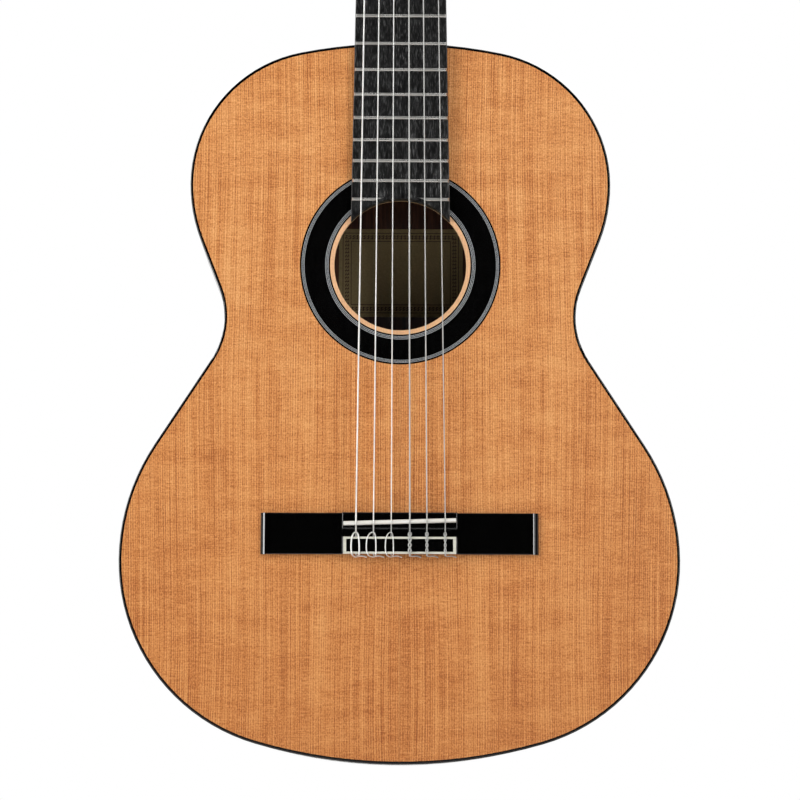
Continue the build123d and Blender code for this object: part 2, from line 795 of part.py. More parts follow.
def make_string(n):
    """One string: round the tie block, through its hole, over the saddle and nut, down to its roller."""
    radius = string_diameters[n] / 2
    x = string_x(n, string_span_saddle)
    y = saddle_place + x * tan(radians(saddle_slant))
    z = saddle_top - saddle_thickness / 2
    bearing = saddle_thickness / 2 + radius + touch
    nut = nut_bend(n)
    mouth = Vector(x, tie_block_front + mouth_gap, string_hole_height)
    first = atan2(nut.Z - z, nut.Y - y) + acos(bearing / hypot(nut.Y - y, nut.Z - z))
    second = atan2(mouth.Z - z, mouth.Y - y) % (2 * pi) - acos(bearing / hypot(mouth.Y - y, mouth.Z - z))
    reach = bearing / cos((second - first) / 2)
    ridge = Vector(x, y + reach * cos((first + second) / 2), z + reach * sin((first + second) / 2))
    over = tie_block_height + radius + touch
    rear = bridge_rear - radius - tail_gap
    points = [Vector(x, tie_block_front - radius, over), Vector(x, rear, over), Vector(x, rear, mouth.Z),
              mouth, ridge, nut, landing(n)]
    route = rounded_route(points, [loop_bend, loop_bend, mouth_bend, bearing, nut_turn])
    section = Plane(origin=route @ 0, z_dir=route % 0) * Circle(radius)
    return sweep(section, path=route)


# -------------------------------------------------------------------- machines


def along_x(radius, start, end):
    """A round bar along X."""
    return Pos((start + end) / 2, 0, 0) * Rot(0, 90, 0) * Cylinder(radius, end - start)


def make_roller(n):
    """Roller about the X axis: pivot, sleeve with the string's windings, and the spindle for the cog."""
    order = station(n)[1]
    wire = string_diameters[n]
    inner = slot_rib / 2 - pivot_length
    sleeve_end = head_width / 2 - sleeve_gap
    roller = along_x(roller_radius, inner, sleeve_end) + along_x(spindle_radius, sleeve_end, gear_end)
    roller -= along_x(axle_screw_radius, gear_end - axle_screw_length, gear_end)
    coil = Torus(roller_radius + wire / 2 - winding_bite, wire / 2)
    first = landings[order] - wire - landing_gap
    for turn in range(winding_turns):
        roller += Pos(first - turn * wire * winding_pitch, 0, 0) * Rot(0, 90, 0) * coil
    return roller


def slotted_head(face, radius):
    """A screw's head on a face across X, with the slot for a screwdriver."""
    slot = box((face + screw_head_height - screw_slot_depth, face + wide), (-radius - spare, radius + spare),
               (-screw_slot_width / 2, screw_slot_width / 2))
    return along_x(radius, face, face + screw_head_height) - slot


def make_gear():
    """Cog about the X axis with slanted teeth cut to clear the worm, and the screw that holds it."""
    reach = gear_width / 2 + spare
    cog = along_x(gear_tip_radius, gear_start, gear_end) - along_x(spindle_radius, gear_start, gear_end)
    slant = axial_pitch / (2 * pi * worm_pitch_radius)
    step = 2 * pi / gear_teeth
    rim = gear_tip_radius + gear_addendum
    outer = rim * tan(step / 2) - tooth_tip_share * axial_pitch / 2
    inner = gear_root_radius * tan(step / 2) - tooth_root_share * axial_pitch / 2
    root = gear_root_radius
    gap = Polygon((-inner, root), (inner, root), (outer, rim), (-outer, rim), align=None)
    face = Plane(origin=(worm_x, 0, 0), x_dir=(0, 0, 1), z_dir=(-1, 0, 0)) * gap
    cutter = extrude(face, reach, dir=(1, 0, slant)) + extrude(face, reach, dir=(-1, 0, -slant))
    for tooth in range(gear_teeth):
        cog -= Rot((tooth + 0.5) * degrees(step), 0, 0) * cutter
    screw = slotted_head(gear_end, screw_head_radius)
    return cog + screw + along_x(axle_screw_radius, gear_end - axle_screw_length, gear_end)


def make_worm():
    """Worm about the Z axis with its shaft and the collar above the button.

    A round section set off its axis and twisted makes a single-start thread. At mid height it is set off
    away from the cog, so that a valley meets the cog's middle tooth.
    """
    section = Pos(0, worm_eccentricity, 0) * Circle(worm_pitch_radius)
    turns = worm_length / axial_pitch
    thread = Solid.extrude_linear_with_rotation(section.face(), (0, 0, 0), (0, 0, worm_length), turns * 360)
    thread = Pos(0, 0, -worm_length / 2) * Rot(0, 0, -turns * 180) * thread
    far_lug = worm_length / 2 + lug_gap + lug_thickness
    shaft = upright(worm_shaft_radius, (button_top - button_grip, far_lug + shaft_end), (0, 0))
    return thread + shaft + upright(collar_radius, (button_top, button_top + collar_length), (0, 0))


def make_button():
    """Oval button on the end of the worm's shaft."""
    thick, across, tall = button_size
    shape = extrude(Plane.YZ * Ellipse(across / 2, tall / 2), thick / 2, both=True)
    shape = fillet(shape.edges(), thick * button_rounding_share)
    shape = Pos(0, 0, button_top - tall / 2 + button_seat) * shape
    shape -= box((-across, across), (-across, across), (button_top, button_top + tall))
    return shape - upright(worm_shaft_radius, (button_top - button_grip, button_top + spare), (0, 0))


def make_plate():
    """Machine plate on the treble side of the head, with two lugs for each worm."""
    low, high = roller_places[0] - plate_margin, roller_places[-1] + plate_margin + plate_extra
    outline = SlotOverall(high - low, plate_width)
    face = Plane(origin=(head_width / 2, (low + high) / 2, -roller_depth), x_dir=(0, 1, 0), z_dir=(1, 0, 0))
    plate = extrude(face * outline, plate_thickness, dir=(1, 0, 0))
    for place in screw_places():
        plate -= Pos(0, place, -roller_depth) * along_x(screw_radius, head_width / 2, plate_face)
    near = worm_length / 2 + lug_gap
    for place in roller_places:
        middle = place + worm_offset
        for side in (-1, 1):
            z = sorted((side * near - roller_depth, side * (near + lug_thickness) - roller_depth))
            y = (middle - lug_width / 2, middle + lug_width / 2)
            lug = box((head_width / 2, worm_x + lug_reach), y, z)
            outer = lug.edges().filter_by(Axis.Z).sort_by(Axis.X)[-2:]
            plate += fillet(outer, lug_rounding)
        plate -= Pos(worm_x, middle, 0) * upright(worm_shaft_radius + running, (-wide, wide), (0, 0))
        plate -= Pos(0, place, -roller_depth) * along_x(spindle_radius + running, head_width / 2, plate_face)
    return plate


def make_plate_screws():
    screws = Part()
    shank = along_x(screw_radius, plate_face - screw_length, plate_face)
    screw = shank + slotted_head(plate_face, screw_head_radius)
    for place in screw_places():
        screws += Pos(0, place, -roller_depth) * screw
    return screws


def on_side(shape, side):
    """Keep a piece of the treble machines, or mirror it to the bass side."""
    return shape if side > 0 else mirror(shape, about=Plane.YZ)


# ----------------------------------------------------------------------- build

save("soundboard", make_soundboard())
save("back_plate", make_back_plate())
save("rib_bass", make_rib(-1))
save("rib_treble", make_rib(1))
save("top_binding", make_top_binding())
save("back_binding", make_back_binding())
save("end_graft", make_end_graft())
save("tail_block", make_tail_block())
save("linings", make_linings())
save("harmonic_bars", make_harmonic_bars())
save("soundhole_patch", make_soundhole_patch())
save("fan_braces", make_fan_braces())
save("back_braces", make_back_braces())
save("label", make_label())
save("rosette_ring", rosette_band(0, 1) + rosette_band(2, 3) + rosette_band(4, 5))
save("rosette_mosaic", rosette_band(1, 2) + rosette_band(3, 4))
save("neck", make_neck())
save("heel_cap", make_heel_cap())
save("fingerboard", make_fingerboard())
save("frets", make_frets())
save("nut", make_nut())
save("headstock", make_headstock())
save("head_veneer", make_head_veneer())
save("bridge", make_bridge())
save("tie_block_trim", make_trim())
save("saddle", make_saddle())

plate = make_plate()
screws = make_plate_screws()
save("tuner_plate_treble", head_frame() * plate)
save("tuner_plate_bass", head_frame() * on_side(plate, -1))
save("plate_screws", head_frame() * (screws + on_side(screws, -1)))

gear = make_gear()
worm = make_worm()
button = make_button()
for n in range(string_count):
    side, order = station(n)
    place = roller_places[order]
    axle = head_frame() * Pos(0, place, -roller_depth)
    shaft = head_frame() * Pos(side * worm_x, place + worm_offset, -roller_depth)
    save(f"string_{n + 1}", make_string(n))
    save(f"roller_{n + 1}", axle * on_side(make_roller(n), side))
    save(f"gear_{n + 1}", axle * on_side(gear, side))
    save(f"worm_{n + 1}", shaft * on_side(worm, side))
    save(f"button_{n + 1}", shaft * on_side(button, side))
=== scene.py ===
# %% [markdown]
# # A classical guitar, finished in Blender
# The guitar arrives as a frame: every piece at its real size and in its real place, but in plain grey.
# This lesson gives each piece the finish of its material, ties the strings to the bridge, winds them on the
# rollers, and sets up the light and the camera. The neck points up (+Z), the soundboard faces -Y and the
# treble side is +X, so a distance "in front of the soundboard" is a negative Y.

# %% Load the guitar
import json
from math import acos, atan2, cos, hypot, pi, radians, sin

import bpy
from mathutils import Matrix, Vector


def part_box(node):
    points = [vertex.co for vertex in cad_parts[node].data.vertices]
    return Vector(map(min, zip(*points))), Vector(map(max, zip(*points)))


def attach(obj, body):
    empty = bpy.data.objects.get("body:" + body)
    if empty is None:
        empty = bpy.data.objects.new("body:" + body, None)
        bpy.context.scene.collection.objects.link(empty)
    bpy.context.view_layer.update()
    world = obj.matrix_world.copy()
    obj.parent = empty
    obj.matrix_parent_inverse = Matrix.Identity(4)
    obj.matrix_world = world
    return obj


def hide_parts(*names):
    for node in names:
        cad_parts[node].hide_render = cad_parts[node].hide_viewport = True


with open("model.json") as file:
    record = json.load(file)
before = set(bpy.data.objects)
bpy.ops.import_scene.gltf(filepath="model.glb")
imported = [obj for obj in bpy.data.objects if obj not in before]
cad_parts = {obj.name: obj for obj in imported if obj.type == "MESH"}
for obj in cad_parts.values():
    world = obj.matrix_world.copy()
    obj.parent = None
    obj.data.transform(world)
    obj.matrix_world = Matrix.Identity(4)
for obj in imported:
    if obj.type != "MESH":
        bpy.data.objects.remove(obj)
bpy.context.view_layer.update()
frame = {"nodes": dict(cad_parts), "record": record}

parts = frame["nodes"]

# %% [markdown]
# ## Measures taken from the frame
# A maker measures the instrument in hand. These places are read from the box of a piece: the saddle's
# crown, the nut, the tie block's frame, and the middle of the rosette.

# %% Measures
mm = 0.001
saddle_low, saddle_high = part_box("saddle")
nut_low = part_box("nut")[0]
frame_low, frame_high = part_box("tie_block_trim")
ring_low, ring_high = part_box("rosette_ring")

hole_centre = (ring_low + ring_high) / 2
saddle_z = (saddle_low.z + saddle_high.z) / 2
saddle_crown = saddle_low.y
head_lean = radians(15.0)
print("soundhole centre", round(hole_centre.z / mm, 1), "mm up, saddle at", round(saddle_z / mm, 1))

# %% [markdown]
# ## A small kit for finishes
# A finish is a tree of shader nodes. A few helpers keep the trees short. `finish` starts a material and
# returns its tree with the main shader. `node` adds one node, sets its options and fills its sockets, each
# with a plain value or with a link from another node. The rest are the steps that nearly every finish takes.
# The patterns read Object coordinates, in metres, so they stay put on the piece whatever the view.

# %% Finish helpers
def finish(name, **sockets):
    material = bpy.data.materials.new(name)
    material.use_nodes = True
    tree = material.node_tree
    shader = tree.nodes["Principled BSDF"]
    for socket, value in sockets.items():
        shader.inputs[socket.replace("_", " ")].default_value = value
    return material, tree, shader


def node(tree, kind, sockets=None, **options):
    made = tree.nodes.new("ShaderNode" + kind)
    for option, value in options.items():
        setattr(made, option, value)
    for socket, value in (sockets or {}).items():
        if isinstance(value, bpy.types.NodeSocket):
            tree.links.new(value, made.inputs[socket])
        else:
            made.inputs[socket].default_value = value
    return made


def place(tree, turn=(0, 0, 0), scale=(1, 1, 1), move=(0, 0, 0), source=None):
    source = source or node(tree, "TexCoord").outputs["Object"]
    return node(tree, "Mapping", {0: source, 1: move, 2: turn, 3: scale}).outputs[0]


def noise(tree, vector, detail=3.0, roughness=0.55, distortion=0.0):
    return node(tree, "TexNoise", {"Vector": vector, "Scale": 1.0, "Detail": detail,
                                   "Roughness": roughness, "Distortion": distortion}).outputs["Fac"]


def ramp(tree, value, stops):
    made = node(tree, "ValToRGB", {0: value})
    while len(made.color_ramp.elements) < len(stops):
        made.color_ramp.elements.new(0.5)
    for element, (position, colour) in zip(made.color_ramp.elements, stops):
        element.position = position
        element.color = (*colour, 1) if hasattr(colour, "__len__") else (colour, colour, colour, 1)
    return made.outputs[0]


def blend(tree, kind, amount, below, above):
    made = node(tree, "Mix", data_type="RGBA", blend_type=kind)
    for socket, value in ((made.inputs[0], amount), (made.inputs[6], below), (made.inputs[7], above)):
        if isinstance(value, bpy.types.NodeSocket):
            tree.links.new(value, socket)
        elif hasattr(value, "__len__"):
            socket.default_value = (*value, 1)
        else:
            socket.default_value = value
    return made.outputs[2]


def maths(tree, kind, first, second=0.0):
    return node(tree, "Math", {0: first, 1: second}, operation=kind).outputs[0]


def relief(tree, shader, height, depth, strength=1.0):
    bump = node(tree, "Bump", {"Strength": strength, "Distance": depth, "Height": height})
    tree.links.new(bump.outputs[0], shader.inputs["Normal"])


def colour_of(tree, shader, colour, roughness=None):
    tree.links.new(colour, shader.inputs["Base Color"])
    if roughness is not None:
        tree.links.new(roughness, shader.inputs["Roughness"])


# %% [markdown]
# ## Cedar for the soundboard
# The top is two halves of one board of western red cedar, opened like a book, so the grain on the left
# mirrors the grain on the right. Taking the absolute value of X does the same to a pattern. Six patterns are
# added up before one ramp turns the sum into colour: fine lines of early and late wood about a millimetre
# and a half apart, irregular streaks along the grain, the silk that crosses them, short flecks, and two
# broad tones, one along the grain and one across. Adding first and colouring last keeps every mixture inside
# the colours of the wood. A second, slow ramp makes the board a little darker and redder towards the tail:
# partly a warmer tone of the wood there, partly painted shade where the light from above falls off.
#
# Inside the rosette a narrow ring of paler wood is left, and the joint of the two halves is a thin darker
# line. The underside is painted dark, as painted shade inside the body. Where the fingerboard ends over the
# hole, the rim of the soundboard under it is painted nearly black as well.

# %% Cedar
hole_radius = 44.7 * mm
blackened_above = 30 * mm
bare_ring_radius = 47.6 * mm
centre_joint = 0.3 * mm
underside = 2.2 * mm
growth_lines = 198.0


def make_cedar():
    material, tree, shader = finish("cedar_gloss", Roughness=0.45, Coat_Weight=0.3, Coat_Roughness=0.12)
    plain = node(tree, "TexCoord").outputs["Object"]
    here = node(tree, "SeparateXYZ", {0: plain})
    mirrored = node(tree, "CombineXYZ", {0: maths(tree, "ABSOLUTE", here.outputs[0]),
                                         1: here.outputs[1], 2: here.outputs[2]}).outputs[0]
    wander = noise(tree, place(tree, scale=(9, 9, 3), source=mirrored), detail=1)
    bent = node(tree, "VectorMath", {0: mirrored, 1: node(tree, "CombineXYZ", {
        0: maths(tree, "MULTIPLY", wander, 0.012)}).outputs[0]}, operation="ADD").outputs[0]
    stretched = place(tree, scale=(1, 0, 0.004), source=bent)
    lines = node(tree, "TexWave", {"Vector": stretched, "Scale": growth_lines, "Distortion": 5.0,
                                   "Detail": 2.0, "Detail Scale": 0.5}).outputs["Fac"]
    strength = noise(tree, place(tree, scale=(90, 40, 14), source=mirrored), detail=2)
    lines = maths(tree, "MULTIPLY", maths(tree, "SUBTRACT", lines, 0.5), strength)
    patterns = (
        (lines, 0.0, 0.50),
        (noise(tree, place(tree, scale=(620, 60, 7), source=bent), detail=4, roughness=0.75), 0.5, 1.35),
        (noise(tree, place(tree, scale=(120, 60, 1100), source=plain), detail=3, roughness=0.7), 0.5, 0.95),
        (noise(tree, place(tree, scale=(1200, 900, 700), source=plain), detail=2, roughness=0.7), 0.5, 1.40),
        (noise(tree, place(tree, scale=(30, 26, 2.2), source=mirrored), detail=2), 0.5, 0.38),
        (noise(tree, place(tree, scale=(22, 20, 80), source=plain), detail=2), 0.5, 0.52),
    )
    total = 0.5
    for pattern, middle_value, weight in patterns:
        total = maths(tree, "ADD", total, maths(tree, "MULTIPLY",
                                                maths(tree, "SUBTRACT", pattern, middle_value), weight))
    colour = ramp(tree, total, [(0.10, (0.34, 0.092, 0.018)), (0.36, (0.57, 0.207, 0.054)),
                                (0.56, (0.70, 0.292, 0.088)), (0.90, (0.87, 0.455, 0.180))])
    beside = maths(tree, "SUBTRACT", here.outputs[0], hole_centre.x)
    above = maths(tree, "SUBTRACT", here.outputs[2], hole_centre.z)
    from_hole = maths(tree, "SQRT", maths(tree, "ADD", maths(tree, "MULTIPLY", beside, beside),
                                          maths(tree, "MULTIPLY", above, above)))
    # the rim of the hole under the fingerboard's end is painted nearly black
    blackened_rim = maths(tree, "MULTIPLY", maths(tree, "LESS_THAN", from_hole, hole_radius + 0.1 * mm),
                    maths(tree, "GREATER_THAN", above, blackened_above))
    joint = maths(tree, "MULTIPLY", maths(tree, "LESS_THAN", maths(tree, "ABSOLUTE", here.outputs[0]),
                                          centre_joint), 0.35)
    colour = blend(tree, "MIX", joint, colour, (0.30, 0.11, 0.03))
    bare = maths(tree, "MULTIPLY", maths(tree, "LESS_THAN", from_hole, bare_ring_radius), 0.6)
    colour = blend(tree, "MIX", bare, colour, (0.90, 0.61, 0.38))
    colour = blend(tree, "MIX", blackened_rim, colour, (0.02, 0.019, 0.018))
    # painted shade: the soundboard's underside is made dark brown, standing in for the shade inside the body
    inside = maths(tree, "GREATER_THAN", here.outputs[1], underside)
    colour = blend(tree, "MIX", inside, colour, (0.16, 0.080, 0.035))
    # painted shade and wood tone: darker and redder towards the tail, where the light from above falls off
    tailwards = node(tree, "MapRange", {0: here.outputs[2], 1: 0.05, 2: 0.42}).outputs[0]
    colour = blend(tree, "MULTIPLY", 1.0, colour, ramp(tree, tailwards, [(0.0, (0.90, 0.82, 0.69)),
                                                                         (1.0, (1.0, 1.0, 1.0))]))
    colour_of(tree, shader, colour)
    relief(tree, shader, total, 0.00003, 0.4)
    return material


cedar = make_cedar()
print("cedar made of", len(cedar.node_tree.nodes), "nodes")

# %% [markdown]
# ## Straight-grained woods
# Linings, bars and blocks are planed and left bare: pale wood with straight lines and no shine. The same
# function, with darker colours and other spacings, makes the mahogany neck and the rosewood body. The back is
# two halves opened like a book too, with a fine inlaid strip along the joint. The headstock leans back by 15
# degrees, and its grain leans with it. The ribs are thin boards bent round the body, so their grain goes
# round with them: their pattern is stretched along X as well as along Z, and stays fine only across.

# %% Woods with straight pores
def make_wood(name, dark, middle, pale, line=600.0, length=6.0, rough=0.5, coat=0.0, pore=0.25,
              lean=0.0, bent=False, strip=()):
    material, tree, shader = finish(name, Roughness=rough, Coat_Weight=coat, Coat_Roughness=0.06)
    here = node(tree, "SeparateXYZ", {0: node(tree, "TexCoord").outputs["Object"]})
    beside = maths(tree, "ABSOLUTE", here.outputs[0])
    mirrored = node(tree, "CombineXYZ", {0: beside, 1: here.outputs[1], 2: here.outputs[2]}).outputs[0]
    mirrored = place(tree, turn=(lean, 0, 0), source=mirrored)
    if bent:
        fine, broad = (length, line, length), (length, line / 14, length)
        pored = (length * 9, line * 2.6, length * 9)
    else:
        fine, broad = (line, line, length), (line / 14, line / 14, length / 3)
        pored = (line * 2.6, line * 2.6, length * 9)
    streak = noise(tree, place(tree, scale=fine, source=mirrored), detail=4,
                   roughness=0.65, distortion=0.15)
    band = noise(tree, place(tree, scale=broad, source=mirrored), detail=3, distortion=0.6)
    colour = ramp(tree, streak, [(0.30, dark), (0.50, middle), (0.72, pale)])
    colour = blend(tree, "SOFT_LIGHT", 0.85, colour, ramp(tree, band, [(0.32, 0.16), (0.68, 0.80)]))
    pores = noise(tree, place(tree, scale=pored, source=mirrored), detail=2)
    open_pore = ramp(tree, pores, [(0.36, 0.0), (0.44, 1.0)])
    colour = blend(tree, "MULTIPLY", pore, colour, open_pore)
    facing = node(tree, "SeparateXYZ", {0: node(tree, "NewGeometry").outputs["Normal"]}).outputs[1]
    outside = maths(tree, "GREATER_THAN", facing, 0.3)
    for half_width, inlay in strip:
        within = maths(tree, "MULTIPLY", maths(tree, "LESS_THAN", beside, half_width), outside)
        colour = blend(tree, "MIX", within, colour, inlay)
    colour_of(tree, shader, colour)
    relief(tree, shader, open_pore, 0.00006, 0.4)
    return material


spruce = make_wood("spruce_bare", (0.34, 0.20, 0.09), (0.50, 0.33, 0.17), (0.60, 0.42, 0.24),
                   rough=0.7, pore=0.1)
mahogany_tones = ((0.16, 0.055, 0.022), (0.27, 0.10, 0.042), (0.36, 0.15, 0.065))
mahogany_look = {"line": 900, "length": 14, "rough": 0.36, "coat": 0.25, "pore": 0.45}
mahogany = make_wood("mahogany_satin", *mahogany_tones, **mahogany_look)
mahogany_head = make_wood("mahogany_head_satin", *mahogany_tones, **mahogany_look, lean=head_lean)
black_line, pale_line = (0.004, 0.004, 0.004), (0.42, 0.25, 0.11)
rosewood_tones = ((0.030, 0.010, 0.006), (0.085, 0.028, 0.014), (0.17, 0.062, 0.028))
rosewood_look = {"line": 420, "length": 3, "rough": 0.3, "coat": 0.8, "pore": 0.35}
rosewood = make_wood("rosewood_gloss", *rosewood_tones, **rosewood_look)
rosewood_back = make_wood("rosewood_back_gloss", *rosewood_tones, **rosewood_look,
                          strip=((2.8 * mm, black_line), (2.1 * mm, pale_line),
                                 (1.4 * mm, black_line), (0.7 * mm, pale_line)))
rosewood_bent = make_wood("rosewood_bent_gloss", *rosewood_tones, **rosewood_look, bent=True)
rosewood_head = make_wood("rosewood_head_gloss", *rosewood_tones, **rosewood_look, lean=head_lean)
print("woods:", ", ".join(wood.name for wood in (spruce, mahogany, mahogany_head, rosewood,
                                                 rosewood_back, rosewood_bent, rosewood_head)))

# %% [markdown]
# ## Ebony
# The fingerboard is oiled ebony: nearly black, with short grey pores along the grain that catch the light.
# The bridge is the same wood under gloss, where the pores are filled and only a deep black shows.

# %% Ebony
def make_ebony(name, rough, coat, darkest, pore_light):
    material, tree, shader = finish(name, Roughness=rough, Coat_Weight=coat, Coat_Roughness=0.04)
    pores = noise(tree, place(tree, scale=(1500, 1500, 210)), detail=3, roughness=0.7)
    grey = ramp(tree, pores, [(0.46, darkest), (0.56, pore_light * 0.22), (0.67, pore_light)])
    band = noise(tree, place(tree, scale=(150, 150, 14)), detail=2)
    colour = blend(tree, "MULTIPLY", 0.6, grey, ramp(tree, band, [(0.35, 0.3), (0.65, 1.0)]))
    colour_of(tree, shader, colour)
    relief(tree, shader, pores, 0.00004, 0.25 if coat == 0 else 0.02)
    return material


ebony_board = make_ebony("ebony_oiled", 0.30, 0.0, 0.0015, 0.12)
ebony_gloss = make_ebony("ebony_gloss", 0.13, 0.9, 0.0006, 0.0016)
print("ebony:", ebony_board.name, "and", ebony_gloss.name)

# %% [markdown]
# ## Lacquered black, bone and paper
# The bindings and the wide ring of the rosette are black under gloss. Bone is warm white with fine, faint
# fibres. The label is plain cream paper with a border of two rules and a twisted line, and no words. The
# border is a distance from the paper's edge, so it follows the paper's size.

# %% Black and bone
def make_black(name, rough):
    material, tree, shader = finish(name, Roughness=rough, Coat_Weight=0.5, Coat_Roughness=0.04)
    mottle = noise(tree, place(tree, scale=(300, 300, 60)), detail=2)
    colour_of(tree, shader, ramp(tree, mottle, [(0.3, 0.0008), (0.7, 0.0024)]))
    relief(tree, shader, mottle, 0.00002, 0.05)
    return material


def make_bone(name, dark, pale):
    material, tree, shader = finish(name, Roughness=0.3, Coat_Weight=0.3, Coat_Roughness=0.08)
    fibres = noise(tree, place(tree, scale=(60, 900, 900)), detail=3)
    colour_of(tree, shader, ramp(tree, fibres, [(0.3, dark), (0.6, pale)]))
    relief(tree, shader, fibres, 0.00002, 0.3)
    return material


black_gloss = make_black("black_binding_gloss", 0.16)
black_ring = make_black("rosette_black", 0.1)
bone = make_bone("bone_polished", (0.74, 0.72, 0.65), (0.88, 0.87, 0.82))
bone_trim = make_bone("bone_trim", (0.58, 0.57, 0.47), (0.72, 0.71, 0.62))
print("plain finishes:", black_gloss.name, black_ring.name, bone.name, bone_trim.name)

# %% Paper
outer_rule, inner_rule, rule_half = 0.0030, 0.0088, 0.00025
twist_middle, twist_swing, twist_length, twist_half = 0.0059, 0.0011, 0.0052, 0.00035


def make_paper():
    material, tree, shader = finish("label_paper", Roughness=0.85)
    low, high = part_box("label")
    middle = (low + high) / 2
    here = node(tree, "SeparateXYZ", {0: place(tree, move=(-middle.x, 0, -middle.z))})
    across = maths(tree, "SUBTRACT", (high.x - low.x) / 2, maths(tree, "ABSOLUTE", here.outputs[0]))
    upward = maths(tree, "SUBTRACT", (high.z - low.z) / 2, maths(tree, "ABSOLUTE", here.outputs[2]))
    edge = maths(tree, "MINIMUM", across, upward)
    along = maths(tree, "ADD", here.outputs[0], here.outputs[2])
    phase = maths(tree, "MULTIPLY", along, 2 * pi / twist_length)
    wave = maths(tree, "MULTIPLY", maths(tree, "SINE", phase), twist_swing)

    def ruled(distance, place_at, half):
        return node(tree, "Math", {0: distance, 1: place_at, 2: half}, operation="COMPARE").outputs[0]

    printed = maths(tree, "MAXIMUM", ruled(edge, outer_rule, rule_half), ruled(edge, inner_rule, rule_half))
    for sign in (1, -1):
        curled = maths(tree, "ADD", edge, maths(tree, "MULTIPLY", wave, sign))
        printed = maths(tree, "MAXIMUM", printed, ruled(curled, twist_middle, twist_half))
    fibre = noise(tree, place(tree, scale=(900, 900, 900)), detail=4)
    sheet = ramp(tree, fibre, [(0.35, (0.32, 0.235, 0.105)), (0.65, (0.40, 0.300, 0.145))])
    colour_of(tree, shader, blend(tree, "MIX", printed, sheet, (0.09, 0.045, 0.028)))
    relief(tree, shader, fibre, 0.00003, 0.3)
    return material


paper = make_paper()
print("label on", paper.name)

# %% [markdown]
# ## Rosette mosaic
# Each fine band of a rosette is laid up from black and white veneers: a white line, a rope of tiny slanted
# tiles, and another white line, parted by black. In polar coordinates round the soundhole that is simple.
# The radius says how far across the band a point lies, and the angle how far round, so a term of the radius
# inside the angle's count gives the tiles their slant.

# %% Mosaic
inner_band = (48.2 * mm, 51.3 * mm)
outer_band = (64.5 * mm, 67.2 * mm)
tile_length = 0.62 * mm
white_lines, white_half = (0.21, 0.79), 0.055
rope_middle, rope_half = 0.50, 0.085


def make_mosaic():
    material, tree, shader = finish("rosette_mosaic", Roughness=0.2, Coat_Weight=0.4, Coat_Roughness=0.05)
    here = node(tree, "SeparateXYZ", {0: place(tree, move=(-hole_centre.x, 0, -hole_centre.z))})
    across, upward = here.outputs[0], here.outputs[2]
    radius = maths(tree, "SQRT", maths(tree, "ADD", maths(tree, "MULTIPLY", across, across),
                                       maths(tree, "MULTIPLY", upward, upward)))
    angle = maths(tree, "ARCTAN2", upward, across)
    inner = node(tree, "MapRange", {0: radius, 1: inner_band[0], 2: inner_band[1]}).outputs[0]
    outer = node(tree, "MapRange", {0: radius, 1: outer_band[0], 2: outer_band[1]}).outputs[0]
    is_outer = maths(tree, "GREATER_THAN", radius, (inner_band[1] + outer_band[0]) / 2)
    depth = node(tree, "Mix", {0: is_outer, 2: inner, 3: outer}).outputs[0]
    tiles_round = round(2 * pi * (inner_band[1] + outer_band[0]) / 2 / tile_length)
    count = maths(tree, "ADD", maths(tree, "MULTIPLY", angle, tiles_round / (2 * pi)),
                  maths(tree, "MULTIPLY", depth, 2.5))
    tile = maths(tree, "GREATER_THAN", maths(tree, "FRACT", count), 0.45)

    def line(place_at, half):
        return node(tree, "Math", {0: depth, 1: place_at, 2: half}, operation="COMPARE").outputs[0]

    plain = maths(tree, "MAXIMUM", line(white_lines[0], white_half), line(white_lines[1], white_half))
    plain = maths(tree, "MULTIPLY", plain, maths(tree, "ADD", maths(tree, "MULTIPLY", tile, 0.5), 0.5))
    rope = maths(tree, "MULTIPLY", line(rope_middle, rope_half), tile)
    speck = noise(tree, place(tree, scale=(1500, 1500, 1500)), detail=1)
    pale = ramp(tree, speck, [(0.35, (0.42, 0.44, 0.45)), (0.65, (0.66, 0.69, 0.71))])
    white = maths(tree, "MAXIMUM", plain, rope)
    colour_of(tree, shader, blend(tree, "MIX", white, (0.006, 0.006, 0.007), pale))
    relief(tree, shader, tile, 0.00002, 0.1)
    return material


mosaic = make_mosaic()
print("mosaic made of", len(mosaic.node_tree.nodes), "nodes")

# %% [markdown]
# ## Metals
# Fret wire is nickel silver with fine polishing scratches across the wire. The machines are lacquered brass,
# brushed across the plate and a little duller in patches.

# %% Metals
def make_metal(name, colour, dull, rough, scratch, depth=0.00002):
    material, tree, shader = finish(name, Metallic=1.0)
    marks = noise(tree, place(tree, scale=scratch), detail=3, roughness=0.7)
    haze = noise(tree, place(tree, scale=(90, 90, 90)), detail=3)
    tint = blend(tree, "MIX", ramp(tree, haze, [(0.42, 0.0), (0.75, 0.7)]), colour, dull)
    roughness = node(tree, "MapRange", {0: maths(tree, "ADD", marks, haze), 1: 0.6, 2: 1.4,
                                        3: rough * 0.6, 4: rough * 1.5}).outputs[0]
    colour_of(tree, shader, tint, roughness)
    relief(tree, shader, marks, depth, 0.25)
    return material


nickel = make_metal("nickel_silver", (0.62, 0.61, 0.58), (0.46, 0.45, 0.42), 0.28, (900, 300, 300), 0.00001)
brass = make_metal("lacquered_brass", (0.88, 0.62, 0.25), (0.62, 0.42, 0.18), 0.2, (600, 600, 5000))
print("metals:", nickel.name, "and", brass.name)

# %% [markdown]
# ## Nylon, plastic and pearl
# Trebles are clear nylon, which looks milky where it crosses a dark board. Basses are wound with silvery
# wire. Rollers are moulded white plastic, and the buttons are pearloid: white plastic with soft, folded
# clouds of a warmer tone.

# %% Nylon, plastic and pearl
def make_nylon():
    material, tree, shader = finish("clear_nylon", Roughness=0.22, IOR=1.53, Transmission_Weight=0.25)
    cloud = noise(tree, place(tree, scale=(200, 200, 12)), detail=2)
    colour_of(tree, shader, ramp(tree, cloud, [(0.3, (0.58, 0.58, 0.56)), (0.7, (0.70, 0.70, 0.67))]))
    relief(tree, shader, cloud, 0.00001, 0.2)
    return material


